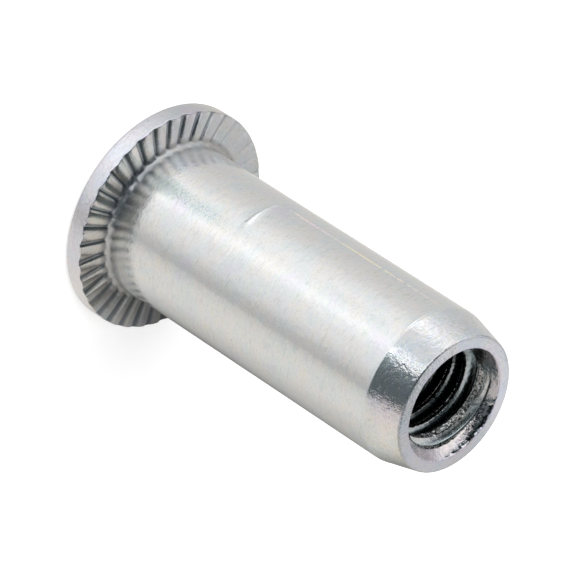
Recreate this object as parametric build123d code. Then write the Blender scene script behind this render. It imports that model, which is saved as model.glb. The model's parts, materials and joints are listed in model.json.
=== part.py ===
from build123d import *
import math
import os

# Blind rivet nut, M6 thread, plain round shank and flat head with radial serrations under it.
# One headed and tapped piece of steel.
#
# Frame: the origin is the centre of the head's flat outer face, +Z runs along the axis to the
# open nose. All sizes are in millimetres.

# Shank and nose
shank_diameter = 9.0
overall_length = 23.5
nose_taper_length = 2.2
nose_end_diameter = 7.95
nose_edge_round = 0.16

# Head
head_diameter = 13.0
head_thickness = 1.2
head_edge_round = 0.2
root_fillet = 0.25

# Serrations: ratchet-shaped radial grooves in the head's underside
serration_count = 37
serration_depth = 0.16
groove_share = 0.72
steep_flank_share = 0.2

# Bore: a thin-walled length that collapses, then the length that is tapped
collapse_bore_diameter = 7.0
collapse_bore_depth = 13.5
bore_step_angle = 120.0
thread_minor_diameter = 5.1
lead_in_diameter = 6.5
lead_in_angle = 80.0
head_mouth_chamfer = 0.2

# How far a cutter stands past the surface that it opens
cutter_overrun = 0.5

shank_radius = shank_diameter / 2
head_radius = head_diameter / 2
collapse_radius = collapse_bore_diameter / 2
minor_radius = thread_minor_diameter / 2
lead_in_radius = lead_in_diameter / 2


def cone_depth(large_radius, small_radius, included_angle):
    """Axial length of a cone between two radii."""
    return (large_radius - small_radius) / math.tan(math.radians(included_angle / 2))


def revolved(*points):
    """Solid of revolution about Z from (radius, height) corners."""
    section = Plane.XZ * make_face(Polyline(*points, close=True))
    return revolve(section, axis=Axis.Z)


def ring_edge(solid, radius, height):
    """The circular edge of the solid nearest to a radius and height."""
    circles = solid.edges().filter_by(GeomType.CIRCLE)
    return min(circles, key=lambda edge: math.hypot(edge.radius - radius, edge.arc_center.Z - height))


def headed_blank():
    """Flat head, round shank and conical nose, with their edges rounded."""
    taper_start = overall_length - nose_taper_length
    nose_radius = nose_end_diameter / 2
    blank = revolved(
        (0, 0),
        (head_radius, 0),
        (head_radius, head_thickness),
        (shank_radius, head_thickness),
        (shank_radius, taper_start),
        (nose_radius, overall_length),
        (0, overall_length),
    )
    blank = fillet(ring_edge(blank, head_radius, 0), head_edge_round)
    blank = fillet(ring_edge(blank, shank_radius, head_thickness), root_fillet)
    return fillet(ring_edge(blank, nose_radius, overall_length), nose_edge_round)


def bore_cutter():
    """Everything that is open along the axis, from the head's face to the nose."""
    step_end = collapse_bore_depth + cone_depth(collapse_radius, minor_radius, bore_step_angle)
    lead_in_start = overall_length - cone_depth(lead_in_radius, minor_radius, lead_in_angle)
    return revolved(
        (0, -cutter_overrun),
        (collapse_radius + head_mouth_chamfer, -cutter_overrun),
        (collapse_radius + head_mouth_chamfer, 0),
        (collapse_radius, head_mouth_chamfer),
        (collapse_radius, collapse_bore_depth),
        (minor_radius, step_end),
        (minor_radius, lead_in_start),
        (lead_in_radius, overall_length),
        (lead_in_radius, overall_length + cutter_overrun),
        (0, overall_length + cutter_overrun),
    )


def serration_cutter():
    """One ratchet-shaped groove along +X, square to the axis and deeper towards the rim.

    Its flanks run out from a point on the axis, so that its width and depth grow with the radius.
    A post as wide as the shank and its root fillet keeps the groove off both.
    """
    reach = head_radius + cutter_overrun
    width = groove_share * 2 * math.pi * reach / serration_count
    steep_width = steep_flank_share * width
    depth = serration_depth * reach / head_radius
    rise = cutter_overrun / depth
    corners = Polyline(
        (-width / 2 - rise * (width - steep_width), cutter_overrun),
        (width / 2 - steep_width, -depth),
        (width / 2 + rise * steep_width, cutter_overrun),
        close=True,
    )
    end_plane = Plane((reach, 0, head_thickness), x_dir=(0, 1, 0), z_dir=(1, 0, 0))
    groove = loft([end_plane * make_face(corners), Vertex(0, 0, head_thickness)], ruled=True)
    post = Cylinder(shank_radius + root_fillet, 2 * (head_thickness + cutter_overrun))
    return groove - post


def rivet_nut():
    """The finished piece."""
    cutter = serration_cutter()
    grooves = [place * cutter for place in PolarLocations(0, serration_count)]
    return headed_blank() - grooves - bore_cutter()


os.makedirs("parts", exist_ok=True)
export_step(rivet_nut(), "parts/rivet_nut.step")
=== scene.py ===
import json
import math
import random
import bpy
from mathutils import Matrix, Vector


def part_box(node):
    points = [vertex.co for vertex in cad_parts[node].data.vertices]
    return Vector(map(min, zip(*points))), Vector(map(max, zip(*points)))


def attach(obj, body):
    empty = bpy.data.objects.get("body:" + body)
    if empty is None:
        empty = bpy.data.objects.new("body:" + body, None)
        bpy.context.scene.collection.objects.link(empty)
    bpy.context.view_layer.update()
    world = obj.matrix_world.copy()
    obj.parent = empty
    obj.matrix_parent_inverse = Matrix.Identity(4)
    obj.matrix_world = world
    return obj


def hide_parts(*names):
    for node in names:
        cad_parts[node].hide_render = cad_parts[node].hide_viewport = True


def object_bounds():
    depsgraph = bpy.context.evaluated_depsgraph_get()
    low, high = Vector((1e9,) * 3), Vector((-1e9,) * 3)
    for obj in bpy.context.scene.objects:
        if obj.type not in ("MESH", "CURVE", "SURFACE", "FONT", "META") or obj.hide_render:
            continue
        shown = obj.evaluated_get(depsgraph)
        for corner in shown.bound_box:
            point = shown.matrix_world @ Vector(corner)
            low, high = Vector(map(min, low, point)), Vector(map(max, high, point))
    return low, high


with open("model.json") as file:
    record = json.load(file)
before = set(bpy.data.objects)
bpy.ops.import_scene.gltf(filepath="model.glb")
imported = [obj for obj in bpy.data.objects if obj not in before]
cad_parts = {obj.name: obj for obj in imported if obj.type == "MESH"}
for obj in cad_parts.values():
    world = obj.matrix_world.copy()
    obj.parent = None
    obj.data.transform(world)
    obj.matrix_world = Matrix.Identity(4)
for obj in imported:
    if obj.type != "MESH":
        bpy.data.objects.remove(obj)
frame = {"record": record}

from types import SimpleNamespace

import bmesh
import bpy
from mathutils import Matrix, Quaternion, Vector, noise

# Blind rivet nut in bright zinc-plated steel: a flat serrated head, a plain shank, a short conical
# nose and a tapped bore. The detailed nut is one closed mesh that stands for the CAD solid.
# Lengths are in millimetres until a mesh or an object is made. A turn is an angle about the axis:
# 0 faces the camera's side (-Y) and it grows counter-clockwise, seen from the open nose.

cad_low, cad_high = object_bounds()
MM = 0.001

# ---------------------------------------------------------------- camera
CAMERA_TURN = -0.785
CAMERA_RISE = 36.693
CAMERA_ROLL = 122.988
CAMERA_DISTANCE = 284.93
CAMERA_AIM = (-0.380, 0.0, 10.357)
LENS_MM = 334.33
SENSOR_MM = 36.0

# ---------------------------------------------------------------- sizes; the first five are taken from the CAD
nut_low, nut_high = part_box("rivet_nut")
mounts = {mount["name"]: mount for mount in frame["record"]["mounts"]}
LENGTH = (nut_high.z - nut_low.z) / MM
HEAD_RADIUS = (nut_high.x - nut_low.x) / 2 / MM
SHANK_RADIUS = mounts["shank"]["dims"]["r_mm"]
MINOR_RADIUS = mounts["thread"]["dims"]["r_mm"]
COLLAPSE_RADIUS = mounts["screw_entry"]["dims"]["r_mm"]

HEAD_THICKNESS = 1.2
HEAD_EDGE_ROUND = 0.2
RIM_EDGE_ROUND = 0.05
RIM_MIDDLE = 0.55
HEAD_FACE_RADII = (4.4, 5.4)
TAPER_LENGTH = 2.2
TAPER_EDGE_ROUND = 0.5
NOSE_RADIUS = 3.975
NOSE_EDGE_ROUND = 0.16
HEAD_FLAT_RADIUS = 4.1
END_FACE_RADII = (3.62, 3.5)
LEAD_IN_RADIUS = 3.25
# The countersink went in at a slight tilt: on one side it is steep at the mouth and slow below, and
# on the other it is one plain cone
LEAD_IN_HALF_ANGLE = 21.0
LEAD_IN_TILT_TURN = 110.0
LEAD_IN_STEEPER = 20.0
LEAD_IN_SLOWER = 7.0
LEAD_IN_STEP = 0.29
MOUTH_EDGE = 0.04
MOUTH_RAGGED = 0.012
COLLAPSE_DEPTH = 13.5
STEP_HALF_ANGLE = 60.0
HEAD_MOUTH_CHAMFER = 0.2
COLLAPSE_HEIGHTS = (13.3, 12.0, 9.0, 6.0, 3.0, 1.0, 0.4)

# ---------------------------------------------------------------- thread, M6 x 1 coarse
THREAD_PITCH = 1.0
THREAD_ROOT_RADIUS = 3.06
GROOVE_TURN = 180.0
GROOVE_DEPTH_THERE = 0.72
TAP_LEAN = 0.15
CREST_TEAR = 0.022
# Depth in the bore at which the third value of wear is 1
DARK_DEPTH = 5.0
# Where the tap broke out and tore the mouth's edge
TORN_TURN = 168.0
TORN_SPREAD = 42.0
BROKEN_TURN = 183.0
BROKEN_SPREAD = 22.0
NOTCH_DEPTH = 0.17
NOTCH_CUT = 0.05
# The notch counts as a recess this deep, so painted shade darkens it like the thread's roots
NOTCH_RECESS = 1.3
# Turns in degrees over which the crests are torn only further in, and over which they grow whole
TORN_FURTHER_IN = (205, 235)
GROWING_WHOLE = (222, 250)
# A row this near to an end ring, as a share of a row's step, joins it
JOINING_SHARE = 0.35

# Places across one pitch, from the middle of a crest, and how far open the groove is there
THREAD_SECTION = (
    (0.00, 0.00), (0.06, 0.00), (0.115, 0.00), (0.15, 0.05),
    (0.235, 0.36), (0.32, 0.67), (0.40, 0.94), (0.45, 0.99),
    (0.50, 1.00), (0.55, 0.99), (0.60, 0.94), (0.68, 0.67),
    (0.765, 0.36), (0.85, 0.05), (0.885, 0.00), (0.94, 0.00),
)
BORE_COLUMNS = 296

# ---------------------------------------------------------------- serrations
TOOTH_COUNT = 37
STEEP_WALL_TURN = 6.2
SERRATION_DEPTH = 0.095
RIM_SHARE = 1.1
SERRATION_SKEW = 0.9
# The root fillet is larger over a groove than over a land, and meets both in a crease, so that its
# edge is scalloped
LAND_FILLET = 0.28
GROOVE_FILLET = 0.52
FILLET_CREASE = 28.0
FILLET_FLAT = 0.03
FILLET_STEPS = 9
# Radii of the rings across the underside, from the rim to the root
UNDERSIDE_RADII = (6.4, 6.28, 6.1, 5.7, 5.3, 4.95)
# Places across one tooth, and the share of the groove's depth there: a crowned land, the groove's
# gentle wall, its rounded root and its steep wall
TOOTH_SECTION = (
    (0.00, 0.26), (0.09, 0.15), (0.18, 0.05), (0.27, 0.00),
    (0.36, 0.00), (0.45, 0.05), (0.53, 0.14), (0.585, 0.26),
    (0.635, 0.47), (0.685, 0.72), (0.735, 0.93), (0.78, 1.00),
    (0.83, 0.98), (0.875, 0.80), (0.92, 0.52), (0.96, 0.34),
)
STEEP_WALL_PLACE = 0.895
GROOVE_PLACE = 0.76
# Turns in degrees between which the grooves widen at one side, and are shallow at the other
WIDE_SIDE = (44, 66, 150, 175)
SHALLOW_SIDE = (-58, -96, -178, -150)

# ---------------------------------------------------------------- marks left by making and handling
# Middle turn and half-spread in degrees, height, half-width and rise: rings rise, nicks are cut
HANDLING_MARKS = (
    (-44, 26, 8.65, 0.07, 0.042), (-46, 30, 21.13, 0.035, 0.014),
    (-4, 6, 9.25, 0.05, -0.009), (4, 4, 9.6, 0.05, -0.009), (61, 3.0, 9.4, 0.05, -0.030),
)

# Heights of the rings on the shank, and those across each mark in half-widths
SHANK_HEIGHTS = (1.72, 1.9, 2.6, 5.0, 8.0, 13.0, 16.5, 20.0)
MARK_STEPS = (-2.5, -1.2, 0.0, 0.8, 1.7)

# Faces that meet at a larger angle than this have a sharp edge
SHARP_ANGLE = 40

shapes = random.Random(6)


def turned(radius, turn, height):
    """Point at a radius, a turn in radians and a height."""
    return (radius * math.sin(turn), -radius * math.cos(turn), height)


def smooth_step(low, high, value):
    """0 below low, 1 above high, and a soft change between them."""
    t = min(max((value - low) / (high - low), 0.0), 1.0)
    return t * t * (3 - 2 * t)


def arc(centre_r, centre_z, radius, start, end, steps):
    """Profile points on an arc; angles are in degrees from the outward radial direction."""
    points = []
    for i in range(steps + 1):
        a = math.radians(start + (end - start) * i / steps)
        points.append((centre_r + radius * math.cos(a), centre_z + radius * math.sin(a)))
    return points


class Skin:
    """Vertices and faces of one closed mesh, collected ring by ring."""

    def __init__(self):
        self.points = []
        self.faces = []
        # How far into a groove each point is, how torn it is, and how deep it lies in the bore
        self.wear = {}

    def ring(self, places):
        first = len(self.points)
        self.points.extend(places)
        return list(range(first, first + len(places)))

    def face(self, corners):
        kept = [c for i, c in enumerate(corners) if c != corners[i - 1]]
        if len(set(kept)) == len(kept) and len(kept) > 2:
            self.faces.append(kept)

    def bridge(self, one, other):
        """Joins two closed rings; the second may have twice as many points."""
        count = len(one)
        times = len(other) // count
        for i in range(count):
            j = (i + 1) % count
            far = [other[(i * times + k) % len(other)] for k in range(times, -1, -1)]
            self.face([one[i], one[j]] + far)


# ---------------------------------------------------------------- outer skin
def tooth_columns():
    """Turn of every column of the outer skin, with its tooth and its place in the section."""
    pitch = 2 * math.pi / TOOTH_COUNT
    first = math.radians(STEEP_WALL_TURN) - STEEP_WALL_PLACE * pitch
    starts = [first + pitch * (k + shapes.uniform(-0.045, 0.045)) for k in range(TOOTH_COUNT)]
    starts.append(starts[0] + 2 * math.pi)
    columns = []
    for k in range(TOOTH_COUNT):
        width = starts[k + 1] - starts[k]
        for place, share in TOOTH_SECTION:
            columns.append((starts[k] + place * width, k, place, share))
    return columns


COLUMNS = tooth_columns()
TOOTH_DEPTHS = [SERRATION_DEPTH * shapes.uniform(0.80, 1.14) for _ in range(TOOTH_COUNT)]
TOOTH_TILTS = [shapes.uniform(-0.022, 0.022) for _ in range(TOOTH_COUNT)]


def wide_share(place):
    """The groove's share where its steep wall leans back, so that half the tooth slopes."""
    if place < 0.12 or place > 0.62:
        return smooth_step(0.0, 1.0, ((0.12 if place < 0.5 else 1.12) - place) / 0.5)
    return smooth_step(0.30, 0.62, place)


def groove_depth(radius, column):
    """Depth of the serrations below the head's underside at one column."""
    turn, tooth, place, share = column
    side = (math.degrees(turn) + 180) % 360 - 180
    near_rim = smooth_step(6.1, HEAD_RADIUS, radius)
    # The grooves widen at the rim and on one side, and are shallow on the other
    start, whole, fading, end = WIDE_SIDE
    lean = 0.9 * smooth_step(start, whole, side) * smooth_step(end, fading, side)
    wide = max(near_rim, 0.6 * math.exp(-(((side + 4) / 22) ** 2)))
    start, whole, end, fading = SHALLOW_SIDE
    shallow = 0.6 * smooth_step(start, whole, side) * smooth_step(end, fading, side)
    at_rim = 1 + (RIM_SHARE - 1) * near_rim
    share = share ** (1 - 0.42 * wide)
    share += (wide_share(place) - share) * lean
    return TOOTH_DEPTHS[tooth] * (1 - shallow) * share * at_rim + TOOTH_TILTS[tooth] * (place - 0.5)


def scallop(place):
    """The groove's share on the root fillet, where its walls are rounded away."""
    return 0.5 + 0.5 * math.cos(2 * math.pi * (place - GROOVE_PLACE))


def skewed(column, radius):
    """Turn of a column where the serrations cross a radius: they aren't quite radial."""
    return column[0] + math.radians(SERRATION_SKEW) * (HEAD_RADIUS - radius)


def plain_ring(skin, radius, height):
    return skin.ring([turned(radius, column[0], height) for column in COLUMNS])


def handling_marks(turn, height):
    """Rise of the thin rings and nicks that handling left on part of the shank."""
    rise = 0.0
    for middle, spread, at, width, amount in HANDLING_MARKS:
        across = (height - at) / width
        if abs(across) < 4:
            away = (math.degrees(turn) - middle + 180) % 360 - 180
            along = amount * math.exp(-((away / spread) ** 4))
            rise += along * (math.exp(-across * across) - 0.4 * math.exp(-((across + 1.8) ** 2)))
    return rise


def outer_skin(skin, head_ring):
    """Head face, rim, serrated underside, shank, nose and end face; gives its last ring."""
    rings = [head_ring]
    for radius in HEAD_FACE_RADII:
        rings.append(plain_ring(skin, radius, 0))
    edge = arc(HEAD_RADIUS - HEAD_EDGE_ROUND, HEAD_EDGE_ROUND, HEAD_EDGE_ROUND, -90, 0, 4)
    for radius, height in edge:
        rings.append(plain_ring(skin, radius, height))
    rings.append(plain_ring(skin, HEAD_RADIUS, RIM_MIDDLE))
    # The rim's upper edge follows the ends of the grooves
    tops = [HEAD_THICKNESS - groove_depth(HEAD_RADIUS, column) for column in COLUMNS]
    for drop, inset in ((2.2, 0.0), (1.0, 0.0), (0.55, 0.12), (0.15, 0.5), (0.0, 1.0)):
        rings.append(skin.ring([
            turned(HEAD_RADIUS - inset * RIM_EDGE_ROUND, column[0], top - drop * RIM_EDGE_ROUND)
            for column, top in zip(COLUMNS, tops)
        ]))
    for radius in UNDERSIDE_RADII:
        rings.append(skin.ring([
            turned(radius, skewed(column, radius), HEAD_THICKNESS - groove_depth(radius, column))
            for column in COLUMNS
        ]))
    crease = math.radians(FILLET_CREASE)
    # The first ring is a narrow flat before the crease
    for step in range(-1, FILLET_STEPS + 1):
        lean = crease + (math.pi / 2 - crease) * max(step, 0) / FILLET_STEPS
        places = []
        for column in COLUMNS:
            fillet = LAND_FILLET + (GROOVE_FILLET - LAND_FILLET) * scallop(column[2])
            radius = SHANK_RADIUS + fillet * (1 - math.sin(lean))
            radius += FILLET_FLAT if step < 0 else 0.0
            soft = column[:3] + (scallop(column[2]),)
            rounded = smooth_step(-1, 3, step)
            depth = groove_depth(radius, column) * (1 - rounded)
            depth += groove_depth(radius, soft) * rounded
            height = HEAD_THICKNESS - depth + fillet * (math.cos(crease) - math.cos(lean))
            places.append(turned(radius, skewed(column, radius), height))
        rings.append(skin.ring(places))
    heights = list(SHANK_HEIGHTS)
    for _, _, at, width, _ in HANDLING_MARKS:
        heights += [at + width * step for step in MARK_STEPS]
    for height in sorted(heights):
        rings.append(skin.ring([
            turned(SHANK_RADIUS + handling_marks(column[0], height), column[0], height)
            for column in COLUMNS
        ]))
    # The shank runs into the taper round a small radius
    taper = math.atan2(SHANK_RADIUS - NOSE_RADIUS, TAPER_LENGTH)
    lean = math.degrees(taper)
    start = LENGTH - TAPER_LENGTH - TAPER_EDGE_ROUND * math.tan(taper / 2)
    edge = arc(SHANK_RADIUS - TAPER_EDGE_ROUND, start, TAPER_EDGE_ROUND, 0, lean, 4)
    for radius, height in edge:
        rings.append(plain_ring(skin, radius, height))
    # ... and the taper into the end face
    gap = NOSE_EDGE_ROUND * math.tan(math.radians(90 - lean) / 2)
    centre_r = NOSE_RADIUS - gap
    centre_z = LENGTH - NOSE_EDGE_ROUND
    for radius, height in arc(centre_r, centre_z, NOSE_EDGE_ROUND, lean, 90, 7):
        rings.append(plain_ring(skin, radius, height))
    rings.append(plain_ring(skin, END_FACE_RADII[0], LENGTH))
    skin.bridge(rings[0], rings[1])
    for one, other in zip(rings[1:], rings[2:]):
        skin.bridge(one, other)
    return rings[-1]


# ---------------------------------------------------------------- tapped bore
BORE_TURNS = [2 * math.pi * j / BORE_COLUMNS for j in range(BORE_COLUMNS)]
GROOVE_MIDDLE = LENGTH - GROOVE_DEPTH_THERE - THREAD_PITCH * GROOVE_TURN / 360


def thread_radius(share):
    return MINOR_RADIUS + share * (THREAD_ROOT_RADIUS - MINOR_RADIUS)


def cone_radius(height, turn):
    """The lead-in at the nose and the drill's step further in, whichever is wider there."""
    tilt = min(max(0.5 + 0.9 * math.cos(turn - math.radians(LEAD_IN_TILT_TURN)), 0.0), 1.0)
    depth = LENGTH - MOUTH_EDGE - height
    steep = math.tan(math.radians(LEAD_IN_HALF_ANGLE + LEAD_IN_STEEPER * tilt))
    slow = math.tan(math.radians(LEAD_IN_HALF_ANGLE - LEAD_IN_SLOWER * tilt))
    lead_in = LEAD_IN_RADIUS - min(depth * steep, LEAD_IN_STEP * tilt + depth * slow)
    step = COLLAPSE_RADIUS - (height - COLLAPSE_DEPTH) * math.tan(math.radians(STEP_HALF_ANGLE))
    return max(lead_in, step)


def uneven(turn, height, grain):
    """Uneven value of about -0.5 to 0.5 with a grain in millimetres; the same on each run."""
    at = Vector(turned(2.9, turn, height)) / grain
    return 0.7 * noise.noise(at) + 0.4 * noise.noise(at * 2.3)


def near_torn_turn(turn, middle=TORN_TURN, spread=TORN_SPREAD):
    """1 in the middle of the stretch where the tap broke out the mouth, and 0 away from it."""
    away = (math.degrees(turn) - middle + 180) % 360 - 180
    return math.exp(-((away / spread) ** 4))


def mouth_wear(turn, depth):
    """Whether the mouth's edge is notched at a depth in the bore, and how torn the metal is."""
    strip = NOTCH_DEPTH * near_torn_turn(turn) * (1.1 + 0.9 * uneven(turn, 0, 0.5))
    strip += NOTCH_CUT * uneven(turn, depth, 0.12)
    notch = 1.0 if 0.01 < depth < strip else 0.0
    broken = near_torn_turn(turn, BROKEN_TURN, BROKEN_SPREAD)
    low_strip = smooth_step(0.26, 0.36, depth) * smooth_step(0.66, 0.56, depth)
    torn = broken * (0.45 + 0.55 * low_strip)
    return notch, max(torn, notch)


def tapped_bore(skin, bottom, top):
    """Helical rows, sixteen to a pitch, held between a flat ring at each end."""
    per_pitch = len(THREAD_SECTION)
    low, high = COLLAPSE_DEPTH, LENGTH - MOUTH_EDGE
    turns_needed = int((high - low) / THREAD_PITCH) + 3
    first_pitch = GROOVE_MIDDLE - 0.5 * THREAD_PITCH
    while first_pitch > low - THREAD_PITCH:
        first_pitch -= THREAD_PITCH
    rows = turns_needed * per_pitch
    ids = []
    for j, turn in enumerate(BORE_TURNS):
        column = []
        for i in range(rows):
            place, share = THREAD_SECTION[i % per_pitch]
            pitches = i // per_pitch + place + turn / (2 * math.pi)
            height = first_pitch + THREAD_PITCH * pitches - TAP_LEAN * math.sin(turn)
            column.append([height, thread_radius(share), cone_radius(height, turn), share])
        # A row near the meeting of thread and cone moves onto it, so that the edge is clean
        moved = [list(p) for p in column]
        for i in range(rows - 1):
            a, b = column[i], column[i + 1]
            before, after = a[1] - a[2], b[1] - b[2]
            if before * after < 0:
                t = before / (before - after)
                k = i if t < 0.5 else i + 1
                moved[k][0] = a[0] + t * (b[0] - a[0])
                moved[k][1] = moved[k][2] = a[1] + t * (b[1] - a[1])
        step = THREAD_PITCH / per_pitch * JOINING_SHARE
        column_ids = []
        for i, (height, thread, cone, share) in enumerate(moved):
            if height < low + step:
                column_ids.append(bottom[j])
                continue
            if height > high - step:
                column_ids.append(top[j])
                continue
            depth = LENGTH - height
            notch, torn = mouth_wear(turn, depth) if cone >= thread else (0.0, 0.0)
            if share == 0:
                below = 0.45 + 0.42 * smooth_step(*TORN_FURTHER_IN, math.degrees(turn))
                whole = 0.6 * smooth_step(*GROWING_WHOLE, math.degrees(turn))
                torn = max(torn, smooth_step(below, below + 0.15, depth) * (1 - whole))
            recess = max(thread - max(cone, MINOR_RADIUS), 0) / (THREAD_ROOT_RADIUS - MINOR_RADIUS)
            recess = max(recess, NOTCH_RECESS * notch)
            column_ids.append(len(skin.points))
            skin.wear[len(skin.points)] = (recess, torn, depth / DARK_DEPTH)
            radius = max(thread, cone) + NOTCH_CUT * notch
            radius += CREST_TEAR * torn * 2 * uneven(turn, height, 0.13)
            skin.points.append(turned(radius, turn, height))
        ids.append(column_ids)
    for j in range(BORE_COLUMNS):
        shift = per_pitch if j == BORE_COLUMNS - 1 else 0
        here = ids[j]
        there = ids[(j + 1) % BORE_COLUMNS]
        for i in range(-shift, rows - 1):
            # Past the seam, a row carries on as the row one pitch further along
            a = here[i] if i >= 0 else bottom[j]
            b = here[i + 1] if i + 1 >= 0 else bottom[j]
            c = there[i + 1 + shift] if i + 1 + shift < rows else top[(j + 1) % BORE_COLUMNS]
            d = there[i + shift] if i + shift < rows else top[(j + 1) % BORE_COLUMNS]
            skin.face([a, b, c, d])


def bore_ring(skin, radius, height, ragged=0.0):
    places = []
    for turn in BORE_TURNS:
        worn = ragged * (1 + 6 * near_torn_turn(turn)) * uneven(turn, height, 0.2)
        places.append(turned(radius + worn, turn, height))
    return skin.ring(places)


def nut_skin():
    skin = Skin()
    head_inner = bore_ring(skin, COLLAPSE_RADIUS + HEAD_MOUTH_CHAMFER, 0)
    head_flat = bore_ring(skin, HEAD_FLAT_RADIUS, 0)
    skin.bridge(head_inner, head_flat)
    end_outer = outer_skin(skin, head_flat)
    end_flat = bore_ring(skin, END_FACE_RADII[1], LENGTH)
    skin.bridge(end_flat, end_outer)
    mouth = bore_ring(skin, LEAD_IN_RADIUS + MOUTH_EDGE, LENGTH, MOUTH_RAGGED)
    skin.bridge(mouth, end_flat)
    mouth_low = bore_ring(skin, LEAD_IN_RADIUS, LENGTH - MOUTH_EDGE, MOUTH_RAGGED)
    skin.bridge(mouth_low, mouth)
    step = bore_ring(skin, COLLAPSE_RADIUS, COLLAPSE_DEPTH)
    tapped_bore(skin, step, mouth_low)
    below = step
    for height in (*COLLAPSE_HEIGHTS, HEAD_MOUTH_CHAMFER):
        ring = bore_ring(skin, COLLAPSE_RADIUS, height)
        skin.bridge(ring, below)
        below = ring
    skin.bridge(head_inner, below)
    return skin


def make_nut():
    skin = nut_skin()
    mesh = bpy.data.meshes.new("zinc_plated_nut")
    mesh.from_pydata([tuple(c * MM for c in p) for p in skin.points], [], skin.faces)
    # The first and third values set the bore's painted shade; the second is how torn the metal is
    wear = mesh.attributes.new("bore_wear", "FLOAT_VECTOR", "POINT")
    for i, values in skin.wear.items():
        wear.data[i].vector = values
    shaped = bmesh.new()
    shaped.from_mesh(mesh)
    bmesh.ops.recalc_face_normals(shaped, faces=shaped.faces)
    loose = [v for v in shaped.verts if not v.link_faces]
    bmesh.ops.delete(shaped, geom=loose, context="VERTS")
    shaped.to_mesh(mesh)
    shaped.free()
    mesh.polygons.foreach_set("use_smooth", [True] * len(mesh.polygons))
    mesh.set_sharp_from_angle(angle=math.radians(SHARP_ANGLE))
    nut = bpy.data.objects.new("zinc_plated_nut", mesh)
    bpy.context.scene.collection.objects.link(nut)
    return nut


nut = make_nut()

# ---------------------------------------------------------------- materials


def colour(text):
    """Linear colour with alpha from an sRGB hex value."""
    channels = [int(text[i:i + 2], 16) / 255 for i in (1, 3, 5)]
    linear = [c / 12.92 if c <= 0.04045 else ((c + 0.055) / 1.055) ** 2.4 for c in channels]
    return (*linear, 1.0)


def add(tree, kind, settings=None, out=0, **inputs):
    """Adds a node with its settings and links; gives an output, or the node where out is None.

    An input is named, or numbered as i0, i1, and gets a value or a link. A ramp's settings may hold
    its stops, as places with a grey value or a colour.
    """
    made = tree.nodes.new(kind)
    for name, value in (settings or {}).items():
        if name != "stops":
            setattr(made, name, value)
            continue
        elements = made.color_ramp.elements
        while len(elements) < len(value):
            elements.new(0.5)
        for element, (place, shade) in zip(elements, value):
            element.position = place
            element.color = (shade,) * 3 + (1.0,) if isinstance(shade, float) else (*shade[:3], 1.0)
    for name, value in inputs.items():
        place = int(name[1:]) if name[0] == "i" and name[1:].isdigit() else name.replace("_", " ")
        socket = made.inputs[place]
        if isinstance(value, bpy.types.NodeSocket):
            tree.links.new(value, socket)
        else:
            socket.default_value = value
    return made if out is None or not made.outputs else made.outputs[out]


def new_material(name):
    made = bpy.data.materials.new(name)
    made.use_nodes = True
    made.node_tree.nodes.clear()
    return made, made.node_tree


MULTIPLY = {"data_type": "RGBA", "blend_type": "MULTIPLY"}
BLEND = {"data_type": "RGBA"}
SOFT = {"interpolation_type": "SMOOTHSTEP"}
TIMES = {"operation": "MULTIPLY"}
GREATER = {"operation": "MAXIMUM"}
LESS = {"operation": "SUBTRACT", "use_clamp": True}
DOT = {"operation": "DOT_PRODUCT"}
WHITE = (1.0, 1.0, 1.0, 1.0)
IN_MM = (1 / MM, 1 / MM, 1 / MM)

# Where the look of the plate changes: heights and radii in millimetres, and turns in degrees. A
# share goes from 0 at the first value to 1 at the second.
ZONES = {
    "rim": (6.35, 6.45), "inside the rim": (6.48, 6.44), "outside the bore": (3.40, 3.45),
    "front half": (-90.0, 90.0), "across": (-1.0, 4.0), "pressed nose": (21.0, 21.9),
    "end face": (LENGTH - 0.05, LENGTH - 0.02), "mouth": (22.8, 23.1),
    "shaded serration roots": (HEAD_THICKNESS - 0.02, HEAD_THICKNESS - 0.085),
    "under the head": (0.9, 0.95), "root of the shank": (5.1, 4.85), "upset head, shaded root": (2.1, 1.5),
    "formed": (3.6, 1.6), "side": (28.0, 60.0), "burr": (-62.8, -59.2), "burr's run": (9.0, 21.5),
    "dashes": (0.38, 0.48), "pits": (0.012, 0.03), "scuffs": (-32.0, -8.0),
    "scuffs' run": (0.0, 10.0), "rubbed": (-29.0, -13.0), "rubbed run": (7.0, 21.0),
    "shade with depth": (0.10, 0.36), "patches": (0.90, 1.10),
}


def zone(name):
    """Inputs of a range node that say where it starts and ends."""
    low, high = ZONES[name]
    return {"From_Min": low, "From_Max": high}


def places(tree):
    """Where a point is, its depth in a groove and in the bore, and how torn it is."""
    place = add(tree, "ShaderNodeTexCoord", out="Object")
    mm = add(tree, "ShaderNodeMapping", Vector=place, Scale=IN_MM)
    x, y, z = add(tree, "ShaderNodeSeparateXYZ", Vector=mm, out=None).outputs
    flat = add(tree, "ShaderNodeMapping", Vector=mm, Scale=(1, 1, 0))
    radius = add(tree, "ShaderNodeVectorMath", {"operation": "LENGTH"}, out="Value", i0=flat)
    ahead = add(tree, "ShaderNodeMath", TIMES, i0=y, i1=-1.0)
    turn = add(tree, "ShaderNodeMath", {"operation": "ARCTAN2"}, i0=x, i1=ahead)
    turn = add(tree, "ShaderNodeMath", {"operation": "DEGREES"}, i0=turn)
    front = add(tree, "ShaderNodeMapRange", Value=turn, **zone("front half"))
    wear = add(tree, "ShaderNodeAttribute", {"attribute_name": "bore_wear"}, out="Vector")
    recess, torn, deep = add(tree, "ShaderNodeSeparateXYZ", Vector=wear, out=None).outputs
    return SimpleNamespace(
        mm=mm, x=x, z=z, radius=radius, turn=turn, front=front, recess=recess, torn=torn, deep=deep,
    )


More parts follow.
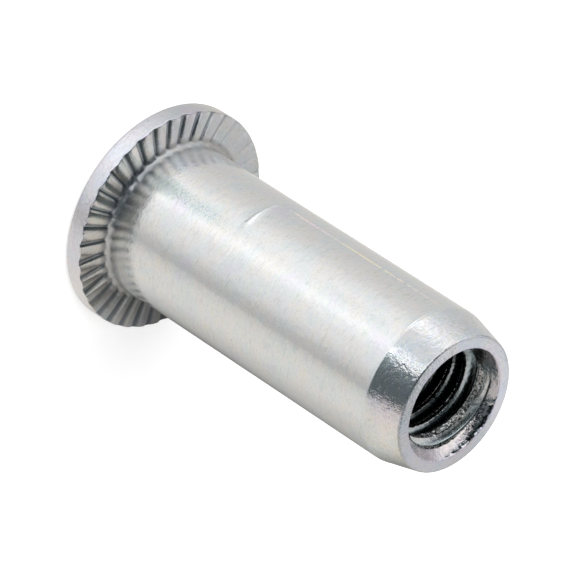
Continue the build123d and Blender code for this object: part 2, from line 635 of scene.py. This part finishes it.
def textures(tree, at):
    """Uneven patterns of the plate; a grain in millimetres is about one over its scale."""
    # Mottling and drawn lines are longer round the nut than along it
    streaks = add(tree, "ShaderNodeMapping", Vector=at.mm, Scale=(1.2, 1.2, 4.0))
    long_specks = add(tree, "ShaderNodeMapping", Vector=at.mm, Scale=(7.0, 7.0, 16.0))
    drawn = add(tree, "ShaderNodeMapping", Vector=at.mm, Scale=(1.4, 1.4, 14.0))
    made = SimpleNamespace()
    for name, vector, scale, detail, rough in (
        ("clouds", at.mm, 0.5, 2.0, 0.5), ("mottle", streaks, 1.0, 3.0, 0.65),
        ("specks", long_specks, 1.0, 2.0, 0.6), ("pressed", at.mm, 4.0, 3.0, 0.6),
        ("patch", at.mm, 4.5, 2.0, 0.6), ("grains", at.mm, 9.0, 2.0, 0.7),
        ("marks", drawn, 1.0, 4.0, 0.6), ("peel", at.mm, 2.6, 3.0, 0.5),
        ("cut", at.mm, 5.0, 3.0, 0.65),
    ):
        noisy = add(
            tree, "ShaderNodeTexNoise", Vector=vector, Scale=scale, Detail=detail, Roughness=rough,
        )
        setattr(made, name, noisy)
    made.pits = add(tree, "ShaderNodeTexVoronoi", out="Distance", Vector=at.mm, Scale=0.42)
    return made


def regions(tree, at, noises):
    """Shares from 0 to 1: where each part of the nut, each kind of wear and each painted shade is.
    """
    shares = {}
    for name, value, settings in (
        ("rim", at.radius, SOFT), ("inside the rim", at.radius, None),
        ("outside the bore", at.radius, None), ("pressed nose", at.z, SOFT),
        ("end face", at.z, None), ("mouth", at.z, None), ("shaded serration roots", at.z, SOFT),
        ("under the head", at.z, None), ("root of the shank", at.radius, SOFT),
        ("upset head, shaded root", at.z, SOFT), ("formed", at.z, SOFT), ("burr", at.turn, None),
        ("burr's run", at.z, None), ("scuffs", at.turn, None), ("scuffs' run", at.z, None),
        ("rubbed", at.turn, None), ("rubbed run", at.z, None), ("dashes", noises.mottle, None),
    ):
        shares[name] = add(tree, "ShaderNodeMapRange", settings, Value=value, **zone(name))
    burr_run = shares["burr's run"]
    # Bands that fade in and out round the nut and along it
    for name, stops in (
        ("burr", ((0.15, 0.0), (0.38, 1.0), (0.62, 1.0), (0.85, 0.0))),
        ("burr's run", (
            (0.0, 0.0), (0.03, 1.0), (0.30, 0.8), (0.60, 1.0), (0.92, 0.4), (1.0, 0.0),
        )),
        ("scuffs", ((0.15, 0.0), (0.42, 1.0), (0.62, 1.0), (0.90, 0.0))),
        ("scuffs' run", ((0.16, 0.0), (0.26, 1.0), (0.70, 0.8), (0.95, 0.0))),
        ("rubbed", ((0.10, 0.0), (0.40, 0.7), (0.60, 0.7), (0.90, 0.0))),
        ("rubbed run", (
            (0.0, 0.0), (0.15, 0.9), (0.45, 0.5), (0.75, 1.0), (0.92, 0.9), (1.0, 0.0),
        )),
    ):
        shares[name] = add(tree, "ShaderNodeValToRGB", {"stops": stops}, Fac=shares[name])
    shares["outer nose"] = shares["pressed nose"]
    shares["lands"] = shares["upset head, shaded root"]
    for name, step, other in (
        ("outer nose", TIMES, "outside the bore"), ("outer nose", LESS, "end face"),
        ("mouth", LESS, "outside the bore"),
        ("shaded serration roots", TIMES, "inside the rim"), ("shaded serration roots", TIMES, "under the head"),
        ("upset head, shaded root", TIMES, "under the head"), ("lands", TIMES, "under the head"),
        ("upset head, shaded root", TIMES, "root of the shank"), ("lands", TIMES, "inside the rim"),
        ("lands", LESS, "upset head, shaded root"), ("formed", TIMES, "root of the shank"),
        ("burr", TIMES, "burr's run"), ("burr", TIMES, "dashes"),
        ("scuffs", TIMES, "scuffs' run"), ("rubbed", TIMES, "rubbed run"),
        ("rubbed", GREATER, "scuffs"),
    ):
        shares[name] = add(tree, "ShaderNodeMath", step, i0=shares[name], i1=shares[other])
    # Torn metal lies in patches
    patch = add(tree, "ShaderNodeMath", {"operation": "ADD"}, i0=noises.patch, i1=at.torn)
    shares["patch"] = add(tree, "ShaderNodeMapRange", SOFT, Value=patch, **zone("patches"))
    inner = add(tree, "ShaderNodeValToRGB", {"stops": (
        (0.11, 0.0), (0.15, 1.0), (0.28, 0.9), (0.40, 0.3), (1.0, 0.2),
    )}, Fac=at.deep)
    shares["pulled"] = add(tree, "ShaderNodeMath", TIMES, i0=inner, i1=shares["patch"])
    return shares, burr_run


def film_colour(tree, at, noises, shares, burr_run):
    """Passivate film on the zinc: clouds, mottling, tints, wear, and painted shade."""
    across = add(tree, "ShaderNodeMapRange", Value=at.x, **zone("across"))
    deep = zone("pits")
    pits = add(tree, "ShaderNodeMapRange", Value=noises.pits, To_Min=0.55, To_Max=1.0, **deep)
    # Painted shade in the roots of the thread grows with depth in the bore
    shade_with_depth = add(
        tree, "ShaderNodeMapRange", Value=at.deep, To_Min=0.55, To_Max=1.1, **zone("shade with depth"),
    )
    recess = add(tree, "ShaderNodeMath", TIMES, i0=at.recess, i1=shade_with_depth)
    layers = []
    # Each layer has a share of the surface, what it changes along, and its shades
    for share, value, stops in (
        # Clouds of 2 mm, mottling of 0.3 mm and specks
        (1.0, noises.clouds, (
            (0.30, "#EFECF4"), (0.42, "#ECF1F0"), (0.50, "#F1F1F1"), (0.58, "#F3F0ED"),
            (0.70, "#ECF1F2"),
        )),
        (1.0, noises.mottle, (
            (0.30, "#EEF4F2"), (0.43, "#FCFAFD"), (0.50, "#FBFCFE"), (0.57, "#FFFEFA"),
            (0.70, "#F0F2F1"),
        )),
        (1.0, noises.specks, ((0.28, "#EEF0F1"), (0.40, "#FAFBFB"), (0.60, "#FFFFFF"))),
        # The film is thicker on the rim and at the nose, where its tint changes round the nut
        (shares["rim"], at.front, (
            (0.0, "#F4F1F0"), (0.10, "#F0EDEA"), (0.22, "#EDEDF2"), (0.29, "#FAF8FF"),
            (0.50, "#F7F6FF"), (0.62, "#F9F8FF"), (0.76, "#FAF8FF"), (0.84, "#FFFBFC"),
        )),
        (shares["outer nose"], across, (
            (0.10, "#F9FAFF"), (0.42, "#FAFAFF"), (0.58, "#FAF4FF"), (0.78, "#FDF6F4"),
            (1.0, "#FCFDFA"),
        )),
        (shares["outer nose"], noises.pressed, (
            (0.36, "#F1F7F3"), (0.44, "#FFFDF8"), (0.52, "#FFFFFF"), (0.60, "#F8FCFF"),
            (0.68, "#FAF7F5"),
        )),
        # Where the head was upset the plate at the root is duller, and painted shade darkens it
        # more
        # towards the camera's side and at a turn of 90 degrees; the lands are faintly tinted
        (shares["upset head, shaded root"], at.front, (
            (0.0, 0.76), (0.14, 0.88), (0.30, 0.80), (0.40, (0.55, 0.56, 0.59)),
            (0.60, (0.64, 0.67, 0.71)), (0.70, 0.70), (0.80, 0.72), (0.90, 0.70), (1.0, 0.62),
        )),
        (shares["lands"], at.front, (
            (0.0, "#F8FAFF"), (0.22, "#FBFAFE"), (0.36, "#FFFAF7"), (0.60, "#FFFAF5"),
            (0.72, "#F3F1EE"), (1.0, "#F3F4F5"),
        )),
        # The burr along the nut is broken into dashes that the film tints yellow and pink
        (shares["burr"], burr_run, (
            (0.0, "#FFFBEA"), (0.20, "#FFE8FA"), (0.38, "#FFF4D4"), (0.55, "#FFF6DC"),
            (0.80, "#FFF0E4"), (1.0, "#FFF4FF"),
        )),
        # Bright scuffs near the head have green and blue glints 0.1 mm long
        (shares["scuffs"], noises.specks, (
            (0.36, "#D6EDE7"), (0.46, "#F8FFFD"), (0.54, "#FFFFFF"), (0.64, "#E6EFF6"),
        )),
        # Painted shade in the thread: black in the roots, and darker with depth from the mouth
        (1.0, recess, (
            (0.0, 1.0), (0.32, (0.93, 1.03, 1.08)), (0.52, (0.50, 0.62, 0.66)), (0.74, 0.12),
            (1.0, 0.02),
        )),
        (1.0, at.deep, ((0.0, 1.0), (0.30, 0.90), (0.60, 0.50), (0.95, 0.12))),
        # Torn metal is speckled with steel where the plate has gone; its grain is 0.1 mm
        (shares["patch"], noises.grains, ((0.37, 0.06), (0.46, 0.26), (0.52, 0.66), (0.59, 1.0))),
    ):
        stops = [(p, colour(shade) if isinstance(shade, str) else shade) for p, shade in stops]
        layers.append((share, add(tree, "ShaderNodeValToRGB", {"stops": stops}, Fac=value)))
    layers += [
        (shares["end face"], colour("#F2F4FF")), (shares["mouth"], colour("#FFFAFF")),
        # Painted shade darkens the roots of the serrations
        (shares["shaded serration roots"], colour("#ACB2B9")),
        (1.0, pits),
    ]
    film = WHITE
    for share, layer in layers:
        film = add(tree, "ShaderNodeMix", MULTIPLY, out=2, i0=share, i6=film, i7=layer)
    return film


def surface_relief(tree, noises, shares):
    """Normal of the plate: fine relief, the facets of the burr and the torn crests."""
    hammered = add(tree, "ShaderNodeMath", TIMES, i0=shares["rim"], i1=0.7)
    hammered = add(tree, "ShaderNodeMath", GREATER, i0=hammered, i1=shares["pressed nose"])
    relief = None
    for height, metres, share in (
        # Orange peel, and drawn lines round the nut
        (noises.peel, 1.2e-5, 1.0), (noises.marks, 2.0e-6, 1.0),
        # The pressed nose and rim are hammered, the cut end face is grainy, and scuffs are rough
        (noises.pressed, 3.0e-5, hammered), (noises.cut, 4.2e-5, shares["end face"]),
        (noises.specks, 3.0e-5, shares["rubbed"]),
    ):
        under = {} if relief is None else {"Normal": relief}
        relief = add(
            tree, "ShaderNodeBump", Height=height, Distance=metres, Strength=share, **under,
        )
    # Facets of the burr catch the light, and torn crests lean out of the bore
    for lean, share in (((-0.95, -2.4, 0.0), "burr"), ((0.0, 0.0, 0.29), "pulled")):
        lean = add(
            tree, "ShaderNodeVectorMath", {"operation": "SCALE"}, out="Vector",
            i0=lean, Scale=shares[share],
        )
        relief = add(
            tree, "ShaderNodeVectorMath", {"operation": "ADD"}, out="Vector", i0=relief, i1=lean,
        )
    return add(tree, "ShaderNodeVectorMath", {"operation": "NORMALIZE"}, out="Vector", i0=relief)


def polish(tree, at, shares):
    """Roughness: bright all over, and rougher at the root of the shank, on the burr and inside."""
    side = add(tree, "ShaderNodeMath", {"operation": "ABSOLUTE"}, i0=at.turn)
    side = add(
        tree, "ShaderNodeMapRange", SOFT, Value=side, To_Min=0.32, To_Max=0.52, **zone("side"),
    )
    rough = add(tree, "ShaderNodeMapRange", Value=shares["formed"], To_Min=0.16, To_Max=side)
    for share, most in (("pulled", 0.36), ("burr", 0.40)):
        worn = add(tree, "ShaderNodeMapRange", Value=shares[share], To_Min=0.0, To_Max=most)
        rough = add(tree, "ShaderNodeMath", GREATER, i0=rough, i1=worn)
    return rough


def zinc_plate():
    """Bright electroplated zinc under a clear passivate, bright and cloudy with faint tints.

    The tap tears the thread's crests after plating; painted shade darkens its roots and depths.
    """
    material, tree = new_material("bright_zinc_plate")
    at = places(tree)
    noises = textures(tree, at)
    shares, burr_run = regions(tree, at, noises)
    metal = add(
        tree, "ShaderNodeBsdfPrincipled", Metallic=1.0,
        Base_Color=film_colour(tree, at, noises, shares, burr_run),
        Roughness=polish(tree, at, shares), Normal=surface_relief(tree, noises, shares),
    )
    add(tree, "ShaderNodeOutputMaterial", Surface=metal)
    return material


nut.data.materials.append(zinc_plate())
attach(nut, "root")
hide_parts("rivet_nut")

# ---------------------------------------------------------------- floor
# In metres. The gap keeps the floor off the head's own plane.
FLOOR_HALF = 3.0
FLOOR_GAP = 0.00003
FLOOR_GLOW = 0.55


def square(half):
    """Corners of a level square."""
    return [(-half, -half, 0), (half, -half, 0), (half, half, 0), (-half, half, 0)]


floor_mesh = bpy.data.meshes.new("floor")
floor_mesh.from_pydata(square(FLOOR_HALF), [], [(0, 1, 2, 3)])
floor = bpy.data.objects.new("floor", floor_mesh)
floor.location.z = cad_low.z - FLOOR_GAP
bpy.context.scene.collection.objects.link(floor)
floor.visible_glossy = False


def white_floor():
    """Matt white sweep: full white where light reaches it, and the nut's soft shadow on it."""
    material, tree = new_material("matt_white_sweep")
    ray = add(tree, "ShaderNodeLightPath", out=None).outputs
    seen = ray["Is Camera Ray"]
    for other in ("Is Transmission Ray", "Is Glossy Ray"):
        seen = add(tree, "ShaderNodeMath", GREATER, i0=seen, i1=ray[other])
    strength = add(tree, "ShaderNodeMath", TIMES, i0=seen, i1=FLOOR_GLOW)
    glow = add(tree, "ShaderNodeEmission", Color=WHITE, Strength=strength)
    matt = add(tree, "ShaderNodeBsdfDiffuse", Color=colour("#E8E8E8"))
    both = add(tree, "ShaderNodeAddShader", i0=glow, i1=matt)
    add(tree, "ShaderNodeOutputMaterial", Surface=both)
    return material


floor.data.materials.append(white_floor())

# ---------------------------------------------------------------- studio
# What mirror-like metal sees: a white table, a pale tent with a dark opening at the camera's side,
# and a softbox overhead. The tent stands on the table that such a nut lies on, so it is tilted.
STUDIO_UP = Vector((-0.732, -0.675, -0.095)).normalized()
STUDIO_FRONT = Vector((0.407, -0.544, 0.733))
STUDIO_SIDE = STUDIO_UP.cross(STUDIO_FRONT).normalized()

# Brightness by elevation above the table in degrees, for each way round the tent
TENT_LEFT = (
    (-90, 0.50), (-62, 0.66), (-48, 0.73), (-36, 0.76), (-20, 0.76), (-10, 0.68), (-1, 0.50),
    (8, 0.58), (17, 0.74), (26, 0.86), (38, 0.93), (46, 1.05), (50, 1.20), (53, 1.22), (56, 1.03),
    (60, 1.04), (66, 0.95), (75, 0.86), (90, 0.84),
)
TENT_BACK = (
    (-90, 0.38), (-42, 0.40), (-34, 0.48), (-24, 0.76), (-12, 0.70), (0, 0.66), (17, 0.65),
    (26, 0.67), (34, 0.69), (44, 0.75), (50, 0.80), (55, 0.92), (61, 0.95), (65, 1.12), (67, 1.48),
    (71, 1.55), (74, 1.12), (80, 0.92), (90, 0.86),
)
TENT_RIGHT = (
    (-90, 0.40), (-60, 0.55), (-38, 0.68), (-12, 0.50), (0, 0.34), (6, 0.37), (17, 0.50),
    (33, 0.74), (40, 1.02), (48, 1.05), (58, 1.00), (75, 0.86), (90, 0.84),
)
TENT_SIDE = (
    (-90, 0.40), (-60, 0.55), (-38, 0.68), (-14, 0.60), (-6, 0.84), (8, 0.84), (17, 0.68),
    (27, 0.74), (33, 0.92), (38, 1.05), (48, 1.05), (58, 1.00), (75, 0.86), (90, 0.84),
)
OPENING_LEFT = (
    (-90, 0.32), (-60, 0.50), (-40, 0.62), (-18, 0.62), (-6, 0.42), (-2.5, 0.13), (24, 0.13),
    (38, 0.20), (50, 0.28), (52.5, 1.45), (56, 1.70), (59, 1.40), (63, 0.84), (66, 0.82),
    (74, 0.78), (90, 0.84),
)
OPENING_RIGHT = (
    (-90, 0.30), (-60, 0.45), (-30, 0.45), (-12, 0.30), (-4, 0.16), (0, 0.07), (13, 0.05),
    (30, 0.09), (36, 0.15), (40, 0.90), (50, 1.02), (60, 1.10), (75, 0.86), (90, 0.84),
)
TENT_TINT = (1.0, 0.995, 0.985)
OPENING_TINT = (0.82, 1.0, 1.06)
RIGHT_TINT = (1.0, 0.97, 1.01)
# Walls of the tent, with the directions in degrees between which each takes over from the last one
TENT_WALLS = (
    (None, None, TENT_BACK, TENT_TINT), (-165, -125, TENT_LEFT, TENT_TINT),
    (-80, -62, OPENING_LEFT, OPENING_TINT), (-15, 20, OPENING_RIGHT, OPENING_TINT),
    (55, 75, TENT_RIGHT, RIGHT_TINT), (76, 86, TENT_SIDE, RIGHT_TINT),
    (106, 118, TENT_RIGHT, RIGHT_TINT), (125, 150, TENT_BACK, TENT_TINT),
)
# What matt surfaces see all round
AMBIENT = (0.35, 0.35, 0.35, 1.0)

# Brightness of the table by distance across it from the line under the nut, in millimetres: past
# the head, beside the nut, under its taper and past the nose. The camera's side is negative.
TABLE_PAST_HEAD = (
    (-40, 0.68), (-28, 0.75), (-20, 0.77), (-10, 0.77), (-3, 0.80), (5, 0.90), (12, 1.02),
    (16, 1.02), (20, 0.86), (28, 0.72), (40, 0.68),
)
TABLE_BESIDE = (
    (-40, 0.67), (-28, 0.73), (-20, 0.77), (-12, 0.78), (-10, 0.78), (-8, 0.75), (-6, 0.66),
    (-4, 0.53), (-3, 0.43), (-2, 0.29), (-1, 0.16), (0, 0.13), (1, 0.18), (3, 0.32), (6, 0.42),
    (10, 0.50), (13, 0.56), (16, 0.60), (20, 0.80), (28, 0.70), (40, 0.74),
)
TABLE_UNDER_TAPER = (
    (-40, 0.66), (-28, 0.70), (-20, 0.78), (-10, 0.83), (-8.5, 0.83), (-7, 0.82), (-6, 0.79),
    (-5, 0.72), (-4.3, 0.66), (-3.7, 0.56), (-3.2, 0.45), (-2.5, 0.34), (-1, 0.20), (3, 0.34),
    (10, 0.52), (40, 0.66),
)
TABLE_PAST_NOSE = (
    (-40, 0.66), (-28, 0.66), (-12, 0.52), (-5, 0.46), (-3, 0.54), (-1, 0.66), (0, 0.64),
    (2, 0.62), (4, 0.68), (6, 0.82), (9, 0.85), (12, 0.64), (20, 0.58), (28, 0.53), (40, 0.53),
)
TABLE_REACH = 110.0
TABLE_SPAN = 80.0
TABLE_GAP = 0.05
# Each strip of the table takes over from the last one between two distances along the nut
TABLE_STRIPS = (
    (None, None, TABLE_PAST_HEAD), (-5.0, 1.0, TABLE_BESIDE),
    (19.2, 20.4, TABLE_UNDER_TAPER), (21.8, 23.6, TABLE_PAST_NOSE),
)
# Ahead of the nose, along this direction, the table ends at the tent's dark opening
TABLE_END = (1.0, 0.35, 0.0)
TABLE_END_SHADE = (0.14, 0.17, 0.18, 1.0)


def studio():
    world = bpy.data.worlds.new("studio")
    bpy.context.scene.world = world
    world.use_nodes = True
    tree = world.node_tree
    tree.nodes.clear()
    ray = add(tree, "ShaderNodeLightPath", out=None).outputs
    way = add(tree, "ShaderNodeTexCoord", out="Generated")
    rise, ahead, aside = [
        add(tree, "ShaderNodeVectorMath", DOT, out="Value", i0=way, i1=tuple(axis))
        for axis in (STUDIO_UP, STUDIO_FRONT, STUDIO_SIDE)
    ]
    elevation = add(tree, "ShaderNodeMath", {"operation": "ARCSINE"}, i0=rise)
    elevation = add(tree, "ShaderNodeMath", {"operation": "DEGREES"}, i0=elevation)
    elevation = add(tree, "ShaderNodeMapRange", Value=elevation, From_Min=-90.0, From_Max=90.0)
    azimuth = add(tree, "ShaderNodeMath", {"operation": "ARCTAN2"}, i0=aside, i1=ahead)
    azimuth = add(tree, "ShaderNodeMath", {"operation": "DEGREES"}, i0=azimuth)

    # Going round from the back by the left, the front and the right to the back again
    seen_round = None
    for low, high, stops, tint in TENT_WALLS:
        shades = []
        for degrees, value in stops:
            # Bright cloth is neutral, and the tint belongs to what is darker
            neutral = smooth_step(0.6, 0.9, value)
            shade = tuple(value * (c + (1 - c) * neutral) for c in tint)
            shades.append(((degrees + 90) / 180, shade))
        wall = add(tree, "ShaderNodeValToRGB", {"stops": shades}, Fac=elevation)
        if seen_round is None:
            seen_round = wall
            continue
        share = add(tree, "ShaderNodeMapRange", SOFT, Value=azimuth, From_Min=low, From_Max=high)
        seen_round = add(tree, "ShaderNodeMix", BLEND, out=2, i0=share, i6=seen_round, i7=wall)

    # Seen straight on, the backdrop is white; only mirror reflections see the tent
    straight = add(
        tree, "ShaderNodeMath", GREATER, i0=ray["Is Camera Ray"], i1=ray["Is Transmission Ray"],
    )
    backdrop = add(tree, "ShaderNodeMix", BLEND, out=2, i0=straight, i6=seen_round, i7=WHITE)
    seen = add(tree, "ShaderNodeMath", GREATER, i0=straight, i1=ray["Is Glossy Ray"])
    light = add(tree, "ShaderNodeMix", BLEND, out=2, i0=seen, i6=AMBIENT, i7=backdrop)
    background = add(tree, "ShaderNodeBackground", Color=light, Strength=1.0)
    add(tree, "ShaderNodeOutputWorld", Surface=background)


studio()


def studio_table():
    """White table of the studio with the nut's shade on it, seen only in mirror reflections."""
    lie = Vector((0, 0, 1)) - STUDIO_UP * STUDIO_UP.z
    lie.normalize()
    across = STUDIO_UP.cross(lie)
    turn = Matrix((lie, across, STUDIO_UP)).transposed()
    drop = (HEAD_RADIUS + TABLE_GAP) * MM
    mesh = bpy.data.meshes.new("studio_table")
    mesh.from_pydata(square(TABLE_REACH * MM), [], [(0, 1, 2, 3)])
    table = bpy.data.objects.new("studio_table", mesh)
    table.matrix_world = Matrix.Translation(STUDIO_UP * -drop) @ turn.to_4x4()
    bpy.context.scene.collection.objects.link(table)
    for sight in ("camera", "diffuse", "transmission", "volume_scatter", "shadow"):
        setattr(table, "visible_" + sight, False)

    material, tree = new_material("white_table_in_reflections")
    place = add(tree, "ShaderNodeTexCoord", out="Object")
    mm = add(tree, "ShaderNodeMapping", Vector=place, Scale=IN_MM)
    along, aside, _ = add(tree, "ShaderNodeSeparateXYZ", Vector=mm, out=None).outputs
    half = TABLE_SPAN / 2
    span = add(tree, "ShaderNodeMapRange", Value=aside, From_Min=-half, From_Max=half)
    tone = None
    for start, end, stops in TABLE_STRIPS:
        stops = [(0.5 + distance / TABLE_SPAN, value) for distance, value in stops]
        strip = add(tree, "ShaderNodeValToRGB", {"stops": stops}, Fac=span)
        if tone is None:
            tone = strip
            continue
        share = add(tree, "ShaderNodeMapRange", SOFT, Value=along, From_Min=start, From_Max=end)
        tone = add(tree, "ShaderNodeMix", BLEND, out=2, i0=share, i6=tone, i7=strip)
    slant = add(tree, "ShaderNodeVectorMath", DOT, out="Value", i0=mm, i1=TABLE_END)
    dark = add(
        tree, "ShaderNodeMapRange", SOFT, Value=slant, From_Min=28.0, From_Max=30.2, To_Max=0.8,
    )
    near = add(tree, "ShaderNodeMapRange", SOFT, Value=aside, From_Min=5.0, From_Max=3.2)
    dark = add(tree, "ShaderNodeMath", TIMES, i0=dark, i1=near)
    tone = add(tree, "ShaderNodeMix", BLEND, out=2, i0=dark, i6=tone, i7=TABLE_END_SHADE)
    tone = add(tree, "ShaderNodeMix", MULTIPLY, out=2, i0=1.0, i6=tone, i7=colour("#FFFDF9"))
    glow = add(tree, "ShaderNodeEmission", Color=tone, Strength=1.0)
    add(tree, "ShaderNodeOutputMaterial", Surface=glow)
    mesh.materials.append(material)


studio_table()


def softbox(name, at, size, power):
    """Soft square lamp that points at the nut."""
    lamp = bpy.data.lights.new(name, "AREA")
    lamp.shape = "SQUARE"
    lamp.size = size
    lamp.energy = power
    holder = bpy.data.objects.new(name, lamp)
    holder.location = at
    holder.rotation_mode = "QUATERNION"
    holder.rotation_quaternion = Vector(at).to_track_quat("Z", "Y")
    holder.visible_glossy = False
    bpy.context.scene.collection.objects.link(holder)


# Place and side in metres, power in watts
SOFTBOX_PLACE = (-0.15, -0.12, 0.35)
SOFTBOX_SIDE = 0.3
SOFTBOX_POWER = 1.1
softbox("overhead_softbox", SOFTBOX_PLACE, SOFTBOX_SIDE, SOFTBOX_POWER)

# ---------------------------------------------------------------- camera


def place_camera():
    turn, rise = math.radians(CAMERA_TURN), math.radians(CAMERA_RISE)
    reach = math.cos(rise)
    back = Vector((math.sin(turn) * reach, -math.cos(turn) * reach, math.sin(rise)))
    data = bpy.data.cameras.new("camera")
    data.lens = LENS_MM
    data.sensor_width = SENSOR_MM
    data.clip_start = 0.01
    data.clip_end = 20.0
    camera = bpy.data.objects.new("camera", data)
    camera.location = (Vector(CAMERA_AIM) + back * CAMERA_DISTANCE) * MM
    camera.rotation_mode = "QUATERNION"
    level = back.to_track_quat("Z", "Y")
    camera.rotation_quaternion = level @ Quaternion((0, 0, 1), math.radians(CAMERA_ROLL))
    bpy.context.scene.collection.objects.link(camera)
    bpy.context.scene.camera = camera


place_camera()
bpy.context.scene.view_settings.view_transform = "Standard"
